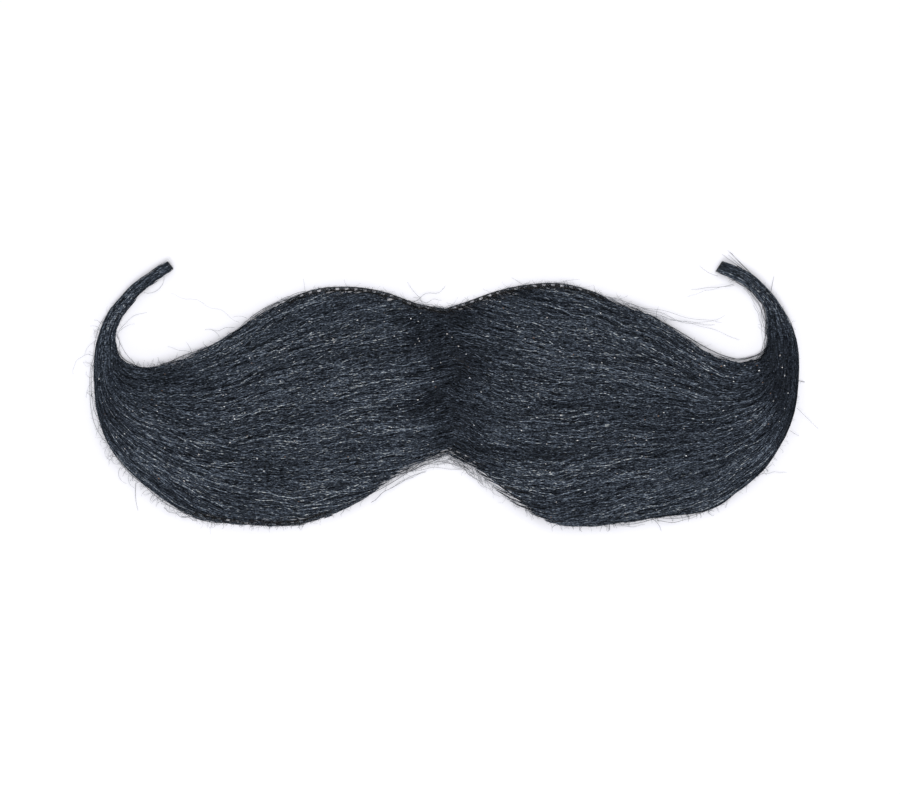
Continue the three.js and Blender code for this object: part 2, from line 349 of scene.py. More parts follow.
def mesh_object(name, points, faces, material, uv_map=None, places=None, tone=None):
    """A smooth object from points in mm and faces with four corners."""
    mesh = bpy.data.meshes.new(name)
    corners = np.asarray(faces, np.int32).ravel()
    starts = np.arange(0, len(corners), 4, dtype=np.int32)
    mesh.vertices.add(len(points))
    mesh.vertices.foreach_set("co", (np.asarray(points, np.float32) * MM).ravel())
    mesh.loops.add(len(corners))
    mesh.loops.foreach_set("vertex_index", corners)
    mesh.polygons.add(len(starts))
    mesh.polygons.foreach_set("loop_start", starts)
    mesh.update(calc_edges=True)
    if uv_map is not None:
        layer = mesh.uv_layers.new(name=uv_map)
        layer.uv.foreach_set("vector", np.asarray(places, np.float32).ravel())
    if tone is not None:
        layer = mesh.attributes.new("tone", "FLOAT", "POINT")
        layer.data.foreach_set("value", np.asarray(tone, np.float32))
    mesh.polygons.foreach_set("use_smooth", np.ones(len(starts), bool))
    mesh.materials.append(material)
    return linked(name, mesh)


def finished(piece, node):
    """Hangs a piece from the root body and hides the imported part that it stands for."""
    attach(piece, "root")
    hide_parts(node)
    return piece


def strand_map(count, points):
    """A place of its own for each strand on the UV map of its colours."""
    columns = max(1, math.ceil(math.sqrt(count / 8)))
    lines = math.ceil(count / columns)
    which = np.arange(count)
    left = (which % columns + 0.04) / columns
    low = (which // columns + 0.15) / lines
    along = np.linspace(0, 0.92 / columns, points)
    u = left[:, None] + along[None, :]
    low = np.repeat(low[:, None], points, axis=1)
    return u, low, low + 0.7 / lines


def cross(a, b):
    return np.stack(
        [
            a[..., 1] * b[..., 2] - a[..., 2] * b[..., 1],
            a[..., 2] * b[..., 0] - a[..., 0] * b[..., 2],
            a[..., 0] * b[..., 1] - a[..., 1] * b[..., 0],
        ],
        axis=-1,
    )


def unit(v):
    return v / np.maximum(np.linalg.norm(v, axis=-1, keepdims=True), 1e-9)


def ribbons(name, lines, widths, rolls, tones, material):
    """Flat strands along lines (strand, point, xyz), turned about themselves by rolls."""
    count, points = lines.shape[:2]
    ahead = unit(np.gradient(lines, axis=1))
    up = np.broadcast_to(np.array([0.0, 0.0, 1.0]), ahead.shape)
    side = unit(cross(ahead, up))
    lift = cross(side, ahead)
    turned = side * np.cos(rolls)[..., None] + lift * np.sin(rolls)[..., None]
    half = turned * (widths / 2)[..., None]
    corners = np.stack([lines - half, lines + half], axis=2)
    at = np.arange(count * points * 2).reshape(count, points, 2)
    faces = np.stack([at[:, :-1, 0], at[:, 1:, 0], at[:, 1:, 1], at[:, :-1, 1]], axis=-1)
    u, low, high = strand_map(count, points)
    uv = np.stack([np.stack([u, low], -1), np.stack([u, high], -1)], axis=2).reshape(-1, 2)
    places = uv[faces.reshape(-1)]
    tones = np.repeat(tones.reshape(-1), 2)
    return mesh_object(name, corners.reshape(-1, 3), faces, material, "OFBake", places, tones)


def tubes(name, lines, radii, tones, material, sides=3):
    """Thin tubes, closed around, along lines (strand, point, xyz), as thick as the radii given."""
    count, points = lines.shape[:2]
    ahead = unit(np.gradient(lines, axis=1))
    up = np.broadcast_to(np.array([0.0, 0.0, 1.0]), ahead.shape)
    side = unit(cross(ahead, up) + np.array([1e-6, 0, 0]))
    lift = cross(side, ahead)
    angles = np.arange(sides) * 2 * math.pi / sides + math.pi / 2
    ring = (
        side[:, :, None] * np.cos(angles)[None, None, :, None]
        + lift[:, :, None] * np.sin(angles)[None, None, :, None]
    )
    corners = lines[:, :, None] + ring * radii[:, :, None, None]
    at = np.arange(count * points * sides).reshape(count, points, sides)
    beside = np.roll(at, -1, axis=2)
    faces = np.stack([at[:, :-1], at[:, 1:], beside[:, 1:], beside[:, :-1]], axis=-1)
    u, low, high = strand_map(count, points)
    shares = np.arange(sides + 1) / sides
    v = low[..., None] + (high - low)[..., None] * shares
    u = np.repeat(u[..., None], sides + 1, axis=2)
    uv = np.stack([u, v], axis=-1)
    first, second = uv[:, :, :-1], uv[:, :, 1:]
    places = np.stack([first[:, :-1], first[:, 1:], second[:, 1:], second[:, :-1]], axis=3)
    tones = np.repeat(tones.reshape(-1), sides)
    return mesh_object(name, corners.reshape(-1, 3), faces, material, "OFBake", places, tones)


def node_maker(material):
    """The material's nodes and links, and a short way to add a linked node."""
    material.use_nodes = True
    tree = material.node_tree
    nodes, links = tree.nodes, tree.links

    def add(kind, inputs=(), **settings):
        node = nodes.new(kind)
        for key, value in settings.items():
            setattr(node, key, value)
        for key, value in dict(inputs).items():
            if isinstance(value, bpy.types.NodeSocket):
                links.new(value, node.inputs[key])
            else:
                node.inputs[key].default_value = value
        return node

    return nodes, links, add


def ramp_of(add, factor, first, *between, last):
    """The colour from a ramp. Each stop is its position, from 0 to 1, and its colour."""
    ramp = add("ShaderNodeValToRGB", {"Fac": factor})
    stops = ramp.color_ramp.elements
    for stop, (position, colour) in ((stops[0], first), (stops[1], last)):
        stop.color = (*colour, 1)
        stop.position = position
    for position, colour in between:
        stops.new(position).color = (*colour, 1)
    return ramp.outputs["Color"]


def hair_material(name, dark, middle, light, roughness):
    """Strands whose colour runs from dark to light with their tone, with a painted glint now and
    then.
    """
    material = bpy.data.materials.new(name)
    nodes, links, add = node_maker(material)
    surface_node = nodes["Principled BSDF"]
    tone = add("ShaderNodeAttribute", attribute_name="tone")
    coordinates = add("ShaderNodeTexCoord")
    flattened = add(
        "ShaderNodeMapping",
        {"Vector": coordinates.outputs["Object"], "Scale": (1.0, 2.0, 2.0)},
    )
    grain = add(
        "ShaderNodeTexNoise",
        {"Vector": flattened.outputs["Vector"], "Scale": 2200.0, "Detail": 1.0},
    )
    mixed = add(
        "ShaderNodeMath",
        {0: grain.outputs["Fac"], 1: GRAIN, 2: -0.5 * GRAIN},
        operation="MULTIPLY_ADD",
    )
    total = add("ShaderNodeMath", {0: tone.outputs["Fac"], 1: mixed.outputs[0]}, operation="ADD")
    colour = ramp_of(
        add, total.outputs[0], (0.0, dark), (0.4, middle), (0.8, light), last=(1.0, GLINT)
    )
    links.new(colour, surface_node.inputs["Base Color"])
    shine = add(
        "ShaderNodeMapRange",
        {
            "Value": grain.outputs["Fac"],
            "From Min": 0.3,
            "From Max": 0.7,
            "To Min": roughness - 0.08,
            "To Max": roughness + 0.12,
        },
    )
    links.new(shine.outputs["Result"], surface_node.inputs["Roughness"])
    surface_node.inputs["Specular IOR Level"].default_value = 0.15
    surface_node.inputs["Specular Tint"].default_value = (0.75, 0.88, 1, 1)
    return material


def glint_and_speck_material(name, rust, white):
    """Painted glints, white where their tone is 1, and specks, rusty where it is 0."""
    material = bpy.data.materials.new(name)
    nodes, links, add = node_maker(material)
    tone = add("ShaderNodeAttribute", attribute_name="tone")
    surface_node = nodes["Principled BSDF"]
    colour = ramp_of(add, tone.outputs["Fac"], (0.3, rust), last=(1.0, white))
    links.new(colour, surface_node.inputs["Base Color"])
    surface_node.inputs["Roughness"].default_value = 0.4
    return material


def core_material(name, dark, light):
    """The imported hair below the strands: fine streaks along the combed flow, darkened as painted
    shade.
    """
    material = bpy.data.materials.new(name)
    nodes, links, add = node_maker(material)
    surface_node = nodes["Principled BSDF"]
    flow = add("ShaderNodeUVMap", uv_map="Flow")
    stretched = add(
        "ShaderNodeMapping",
        {"Vector": flow.outputs["UV"], "Scale": (0.35, 5.0, 1.0)},
    )
    streaks = add(
        "ShaderNodeTexNoise",
        {
            "Vector": stretched.outputs["Vector"],
            "Scale": 1.0,
            "Detail": 4.0,
            "Roughness": 0.65,
            "Distortion": 0.4,
        },
    )
    colour = ramp_of(add, streaks.outputs["Fac"], (0.35, dark), last=(0.68, light))
    links.new(colour, surface_node.inputs["Base Color"])
    bump = add(
        "ShaderNodeBump",
        {"Height": streaks.outputs["Fac"], "Strength": 0.8, "Distance": 0.0003},
    )
    links.new(bump.outputs["Normal"], surface_node.inputs["Normal"])
    surface_node.inputs["Roughness"].default_value = 0.6
    return material


def thread_material(name, dark, light):
    """Matt twisted thread."""
    material = bpy.data.materials.new(name)
    nodes, links, add = node_maker(material)
    surface_node = nodes["Principled BSDF"]
    coordinates = add("ShaderNodeTexCoord")
    fluff = add(
        "ShaderNodeTexNoise",
        {"Vector": coordinates.outputs["Object"], "Scale": 2200.0, "Detail": 3.0},
    )
    colour = ramp_of(add, fluff.outputs["Fac"], (0.35, dark), last=(0.7, light))
    links.new(colour, surface_node.inputs["Base Color"])
    bump = add(
        "ShaderNodeBump",
        {"Height": fluff.outputs["Fac"], "Strength": 0.6, "Distance": 0.0001},
    )
    links.new(bump.outputs["Normal"], surface_node.inputs["Normal"])
    surface_node.inputs["Roughness"].default_value = 0.75
    return material


# How much the grain of a strand changes its tone
GRAIN = 1.5

# Colours, as linear light
HAIR_DARK = (0.0015, 0.002, 0.003)
HAIR_MIDDLE = (0.0216, 0.0272, 0.0392)
HAIR_LIGHT = (0.126, 0.154, 0.2)
# The colour of painted glints on the strands
GLINT = (0.44, 0.465, 0.48)
# The core's colours are darker than the strands': painted shade for the hair below them
CORE_DARK = (0.002, 0.0025, 0.0035)
CORE_LIGHT = (0.010, 0.0125, 0.017)
RUST = (0.17, 0.09, 0.05)
PAINTED_GLINT_WHITE = (0.75, 0.77, 0.8)
NET_DARK = (0.006, 0.006, 0.007)
NET_LIGHT = (0.022, 0.022, 0.025)

hair = hair_material("combed_hair", HAIR_DARK, HAIR_MIDDLE, HAIR_LIGHT, 0.42)
glued = hair_material("glued_hair", HAIR_DARK, HAIR_MIDDLE, HAIR_LIGHT, 0.36)
glint_and_speck = glint_and_speck_material("glinting_hair", RUST, PAINTED_GLINT_WHITE)
core = core_material("packed_hair", CORE_DARK, CORE_LIGHT)
net_thread = thread_material("net_thread", NET_DARK, NET_LIGHT)


def core_inset(wing, edge, row):
    return np.clip(thins(wing, edge, row), 0.2, 1.8) + RIM_WIDTH * rim_shows(wing, edge, row)


def core_piece(wing, name, first_row, last_row, columns, sink, inset, slot, node):
    """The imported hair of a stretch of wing, a little inside the strands that cover it."""
    rows = np.linspace(first_row, last_row, int((last_row - first_row) * 8) + 1)
    shares = np.linspace(0, 1, columns + 1)
    row, share = np.meshgrid(rows, shares, indexing="ij")
    depth = spline(wing["depth"], row)
    low = (core_inset(wing, 0, row) + inset) / depth
    high = 1 - (core_inset(wing, 1, row) + inset) / depth
    across = low + (high - low) * share
    x, y = place(wing, row, across)
    z = surface(wing, row, across, RELIEF, SHOULDER) - sink
    under = np.maximum(spline(wing["under"], row) - 0.2, 0.1)
    z = np.maximum(z, under + 0.15)
    top = np.stack([x, y, z], axis=-1)
    bottom = np.stack([x, y, under], axis=-1)[:, ::-1]
    ring = np.concatenate([top, bottom], axis=1)
    flow = flow_of(wing, row, across) * depth.max(axis=1, keepdims=True)
    along = length_at(wing, row)
    flat = np.stack([along, flow], axis=-1)
    flat = np.concatenate([flat, flat[:, ::-1]], axis=1)
    around = ring.shape[1]
    at = np.arange(ring.shape[0] * around).reshape(ring.shape[0], around)
    beside = np.roll(at, -1, axis=1)
    faces = np.stack([at[:-1], at[1:], beside[1:], beside[:-1]], axis=-1).reshape(-1, 4)
    half = columns + 1
    ends = []
    for line, turn in ((at[0], 1), (at[-1], -1)):
        lower = line[::-1][:half]
        for i in range(half - 1):
            ends.append([line[i], line[i + 1], lower[i + 1], lower[i]][::turn])
    faces = np.concatenate([faces, np.array(ends)])
    if wing["side"] < 0:
        faces = faces[:, ::-1]
    places = flat.reshape(-1, 2)[faces.reshape(-1)]
    piece = mesh_object(name, ring.reshape(-1, 3), faces, core, "Flow", places)
    return finished(piece, node)


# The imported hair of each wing: kind, from row, to row, columns, sink, inset, slot
CORES = [
    ("hair", 0.0, FOOT_ROW, 70, 0.9, 0.2, "combed_hair"),
    ("curl", FOOT_ROW, TIP_ROW, 16, 0.5, 0.1, "glued_hair"),
]

for wing in (LEFT, RIGHT):
    for kind, *measures, slot in CORES:
        node = f"{wing['name']}_{kind}"
        core_piece(wing, f"{node}_core", *measures, slot, node)


def wavy(rng, count, size):
    """A function for the wander of strands at a distance along them: waves of their own each."""
    waves = []
    for amplitude, shortest, longest in size:
        wave = rng.uniform(shortest, longest, (count, 1))
        start = rng.uniform(0, 2 * math.pi, (count, 1))
        waves.append((amplitude * rng.uniform(0.4, 1.3, (count, 1)), wave, start))

    def wander(along):
        total = 0
        for height, wave, start in waves:
            total = total + height * np.sin(2 * math.pi * along / wave + start)
        return total

    return wander


def parting_sway(y):
    """How far to the right the parting wanders at a height, in mm."""
    return 1.0 + 1.1 * np.sin(0.5 * y)


def combed(wing, rng, count, points, rows, lengths, sink, slant, crimp, spill):
    """Lines of strands that follow the combed flow between two rows, cut at the outline."""
    first, last = length_at(wing, rows[0]), length_at(wing, rows[1])
    grid = np.linspace(first, last, ROOT_STEPS)
    weight = np.cumsum(spline(wing["depth"], row_at(wing, grid)) + 1.0)
    middle = np.interp(rng.uniform(0, weight[-1], count), weight, grid)
    row = row_at(wing, middle)
    edge = 0.3 / spline(wing["depth"], row)
    across = rng.uniform(-edge, 1 + edge)
    flow = flow_of(wing, row, unhugged(wing, row, across))
    length = rng.uniform(*lengths, count)
    tries = np.linspace(-0.5, 0.5, CUT_TRIES)
    total = wing["fine_lengths"][-1]
    drift = rng.normal(0, slant, count)
    over = np.abs(rng.normal(0, spill, count))
    covers = rng.random(count) < rim_cover(wing, row, across)
    reach = rng.uniform(*RIM_REACH, count) + LOW_RIM_REACH * (across < 0.5)
    over = np.where(covers, reach, over)
    short = rng.random(count)
    wander = wavy(rng, count, crimp)

    def lateral(t):
        s = middle[:, None] + t * length[:, None]
        at_row = row_at(wing, np.clip(s, 0, total))
        depth = spline(wing["depth"], at_row)
        spread = depth * (spline(wing["below"], at_row) + 1 + spline(wing["above"], at_row))
        calm = 1 - 0.3 * smoothstep(at_row, 6, 11) - 0.3 * smoothstep(at_row, 12, 15)
        offset = drift[:, None] * t * length[:, None] + wander(s) * calm
        at_flow = flow[:, None] + offset / spread
        return s, at_row, hugging(wing, at_row, across_of(wing, at_row, at_flow)), calm

    t = np.broadcast_to(tries, (count, len(tries)))
    s, at_row, at_across, _ = lateral(t)
    rim = np.where(at_across > 0.5, rim_shows(wing, 1, at_row), rim_shows(wing, 0, at_row))
    lies_over = covers[:, None] & (rim > 0.5)
    room = to_edge(wing, at_row, at_across, np.where(lies_over, 0, short[:, None]))
    room = room + np.minimum(over[:, None], spill + 1.4 * rim)
    past = rng.uniform(0.3, 1, count) ** 2 * PARTING_CROSS
    good = (room >= 0) & (s <= total) & (s >= -past[:, None])
    centre = len(tries) // 2
    forward = np.cumprod(good[:, centre:], axis=1).sum(axis=1) - 1
    backward = np.cumprod(good[:, centre::-1], axis=1).sum(axis=1) - 1
    keep = good[:, centre] & (forward + backward >= FEWEST_STEPS)
    step = tries[1] - tries[0]
    start, end = -backward * step, forward * step
    share = np.linspace(0, 1, points)
    t = start[:, None] + (end - start)[:, None] * share
    s, at_row, at_across, calm = lateral(t)
    x, y = place(wing, at_row, at_across)
    x = x + wing["side"] * np.minimum(s, 0)
    away_from_edges = 1 - np.clip(np.abs(2 * at_across - 1), 0, 1) ** 4
    x = x + parting_sway(y) * np.exp(-((x / SWAY_WIDTH) ** 2)) * away_from_edges
    shoulder = SHOULDER - (SHOULDER - CURL_SHOULDER) * smoothstep(at_row, FOOT_ROW, FOOT_ROW + 2)
    height = surface(wing, at_row, np.clip(at_across, 0, 1), RELIEF, shoulder)
    crests = wavy(rng, count, [(1.0, 1.3, 3.0)])(s)
    bob = BOB * crests * calm
    depth_below = rng.uniform(sink[0], sink[1], (count, 1)) * calm
    dive = ROOT_DIVE * (1 - share) ** 6 + TIP_DIVE * share**10
    z = np.maximum(height - depth_below + bob - dive * calm, LOWEST)
    return {
        "lines": np.stack([x, y, z], axis=-1)[keep],
        "row": at_row[keep],
        "flow": flow_of(wing, at_row, unhugged(wing, at_row, at_across))[keep],
        "crests": crests[keep],
        "along": s[keep],
    }


def streaks(rng, flow, along):
    """Long soft streaks along the combed flow, about -1 to 1, in lanes and stretches."""
    total = np.zeros(flow.shape)
    for lanes, stretch, share in STREAKS:
        values = rng.normal(0, share, (lanes + 2, int(110 / stretch) + 3))
        lane = np.clip(flow, 0, 1) * lanes
        part = np.clip(along, 0, 105) / stretch
        low, left = np.floor(lane).astype(int), np.floor(part).astype(int)
        up, right = lane - low, part - left
        up, right = up * up * (3 - 2 * up), right * right * (3 - 2 * right)
        lower = values[low, left] * (1 - right) + values[low, left + 1] * right
        upper = values[low + 1, left] * (1 - right) + values[low + 1, left + 1] * right
        total += lower * (1 - up) + upper * up
    return total


def shade_of(wing, x, y, at_row):
    """Painted shade: how much darker the hair is at the parting, curl foot, tips and a few spots.
    """
    # Each term darkens the strands' colour as painted shade
    parting = PARTING_SHADE * (1 - smoothstep(np.abs(x - parting_sway(y)), 1.0, 10.0))
    foot = wing["foot_shade"] * smoothstep(at_row, 10.8, 13.0)
    foot = foot * (1 - smoothstep(at_row, 14.0, 17.2))
    tip = TIP_SHADE * smoothstep(at_row, 17.0, 19.5)
    shade = (1 - parting) * (1 - foot) * (1 - tip)
    for middle_x, middle_y, wide, tall, depth in PAINTED_SHADE_SPOTS:
        away = ((x - middle_x) / wide) ** 2 + ((y - middle_y) / tall) ** 2
        shade = shade * (1 - depth * np.exp(-away))
    return shade


def strand_looks(rng, wing, strands, width, tone, spread, crest_highlight):
    """Widths, turns and tones of strands, with painted highlights on the crests of their crimp."""
    lines, crests = strands["lines"], strands["crests"]
    count, points = lines.shape[:2]
    share = np.linspace(0, 1, points)
    taper = np.clip(np.minimum(share, 1 - share) * 9, 0.25, 1)
    widths = rng.uniform(*width, (count, 1)) * taper
    rolls = rng.uniform(-0.9, 0.9, (count, 1))
    rolls = rolls + wavy(rng, count, [(0.5, 2.0, 5.0)])(strands["along"])
    # Painted highlight: the crests of the crimp are lighter in colour
    tones = rng.normal(tone, spread, (count, 1)) + crest_highlight * crests
    lanes = np.random.default_rng(5 + wing["side"])
    tones = tones + streaks(lanes, strands["flow"], strands["along"])
    tones = np.clip(tones, 0, 0.85)
    # Painted glints: a few crests take the ramp's glint colour
    glints = (rng.random((count, 1)) < GLINT_SHARE) & (crests > 1.1)
    tones = np.where(glints, 0.95, tones)
    return widths, rolls, tones * shade_of(wing, lines[..., 0], lines[..., 1], strands["row"])


# Share of strands with a painted glint, and how strong the painted shade is at the parting and tips
GLINT_SHARE = 0.014
PARTING_SHADE = 0.3
TIP_SHADE = 0.22

# Spots of painted shade, where the hair's colour is darker: x, y, wide, tall, depth
PAINTED_SHADE_SPOTS = [
    (46.0, -8.0, 10.0, 10.0, 0.17),
    (9.0, 2.0, 5.0, 9.0, 0.07),
    (-62.0, -0.5, 6.5, 4.0, 0.12),
    (-53.0, -3.5, 7.0, 3.5, 0.12),
    (-22.0, 13.0, 14.0, 5.0, 0.06),
    (-5.5, 9.0, 2.2, 1.6, 0.4),
    (-1.5, 5.0, 1.4, 2.6, 0.35),
    (3.0, 1.0, 2.0, 1.6, 0.3),
    (25.5, -4.2, 4.5, 0.7, 0.35),
    (13.0, -13.0, 6.0, 0.8, 0.25),
    (-55.0, 0.8, 5.0, 1.2, 0.25),
    (61.5, -0.6, 6.5, 3.4, 0.3),
    (-9.0, 12.0, 4.0, 0.8, 0.3),
    (22.0, -24.5, 7.0, 0.9, 0.3),
]

CRIMP = [(0.1, 1.8, 3.8), (0.35, 7.0, 16.0)]
SOFT_CRIMP = [(0.08, 1.8, 4.0), (0.12, 8.0, 18.0)]
STRAND_POINTS = 21

# How far strands may cross the parting, and how wide a band sways with it
PARTING_CROSS = 5.0
SWAY_WIDTH = 6.0

# Steps along a wing that roots are drawn from, steps that a strand's ends are cut back by, and
# the fewest of them in a strand
ROOT_STEPS = 600
CUT_TRIES = 41
FEWEST_STEPS = 6

# How far strands reach over a rim that shows, and how much further over the bottom one
RIM_REACH = (0.3, 1.05)
LOW_RIM_REACH = 0.4

# How much a strand rises and falls with its crimp, sinks at its root and its tip, and its
# lowest point
BOB = 0.1
ROOT_DIVE = 0.5
TIP_DIVE = 0.25
LOWEST = 0.12

# Streaks of tone along the flow: lanes across the wing, length of a stretch, strength
STREAKS = [(14, 22.0, 0.025), (70, 9.0, 0.035)]

WING_ROWS = (0, 14.5)
CURL_ROWS = (12.8, TIP_ROW)

# Layers of strands on each wing: name, rows, count, lengths, sink, slant, crimp and spill, and
# on the second line width, tone, spread and crest highlight, a painted highlight on the crests
LAYERS = [
    # The under layer's lower tone is painted shade, for hair that lies below the top strands
    ("hair_under", WING_ROWS, 4300, (8, 14), (0.3, 1.0), 0.06, CRIMP, 0.15,
     (0.14, 0.22), 0.28, 0.17, 0.2),
    ("hair_top", WING_ROWS, 4300, (6, 15), (-0.12, 0.4), 0.07, CRIMP, 0.15,
     (0.08, 0.17), 0.405, 0.2, 0.17),
    ("curl_strands", CURL_ROWS, 800, (6, 15), (-0.05, 0.5), 0.015, SOFT_CRIMP, 0.05,
     (0.09, 0.18), 0.37, 0.3, 0.2),
]

# Bright spots on each wing, white painted glints, and the share of them that is rusty specks
GLINT_AND_SPECK_COUNT = 150
RUSTY = 0.15


def glints_and_specks(rng, wing, lines):
    """Painted highlights where a bend of a strand flashes, a few of them rusty brown specks."""
    strand = rng.integers(0, len(lines), GLINT_AND_SPECK_COUNT)
    point = rng.integers(3, STRAND_POINTS - 3, GLINT_AND_SPECK_COUNT)
    middle = lines[strand, point] + np.array([0, 0, 0.12])
    ahead = unit(lines[strand, point + 1] - lines[strand, point - 1])
    reach = rng.uniform(0.07, 0.17, (GLINT_AND_SPECK_COUNT, 1, 1)) * np.array([-1, 0, 1])[None, :, None]
    spots = middle[:, None] + ahead[:, None] * reach
    widths = rng.uniform(0.08, 0.19, (GLINT_AND_SPECK_COUNT, 1)) * np.ones(3)
    rolls = rng.uniform(-0.3, 0.3, (GLINT_AND_SPECK_COUNT, 1)) * np.ones(3)
    rusty = rng.random((GLINT_AND_SPECK_COUNT, 1)) < RUSTY
    tones = np.where(rusty, 0.0, rng.uniform(0.6, 1, (GLINT_AND_SPECK_COUNT, 1))) * np.ones(3)
    piece = ribbons(f"{wing['name']}_flecks", spots, widths, rolls, tones, glint_and_speck)
    finished(piece, f"{wing['name']}_hair")


def strand_layers(wing):
    for i, layer in enumerate(LAYERS):
        name, rows, count, lengths, sink, slant, crimp, spill, width, tone, spread, crest_highlight = layer
        rng = np.random.default_rng(i + 10 * (wing["side"] + 1))
        strands = combed(wing, rng, count, STRAND_POINTS, rows, lengths, sink, slant, crimp, spill)
        widths, rolls, tones = strand_looks(rng, wing, strands, width, tone, spread, crest_highlight)
        material, slot, node = hair, "combed_hair", "hair"
        if rows == CURL_ROWS:
            material, slot, node = glued, "glued_hair", "curl"
        piece_name = f"{wing['name']}_{name}"
        piece = ribbons(piece_name, strands["lines"], widths, rolls, tones, material)
        finished(piece, f"{wing['name']}_{node}")
        if name == "hair_top":
            glints_and_specks(rng, wing, strands["lines"])


for wing in (LEFT, RIGHT):
    strand_layers(wing)


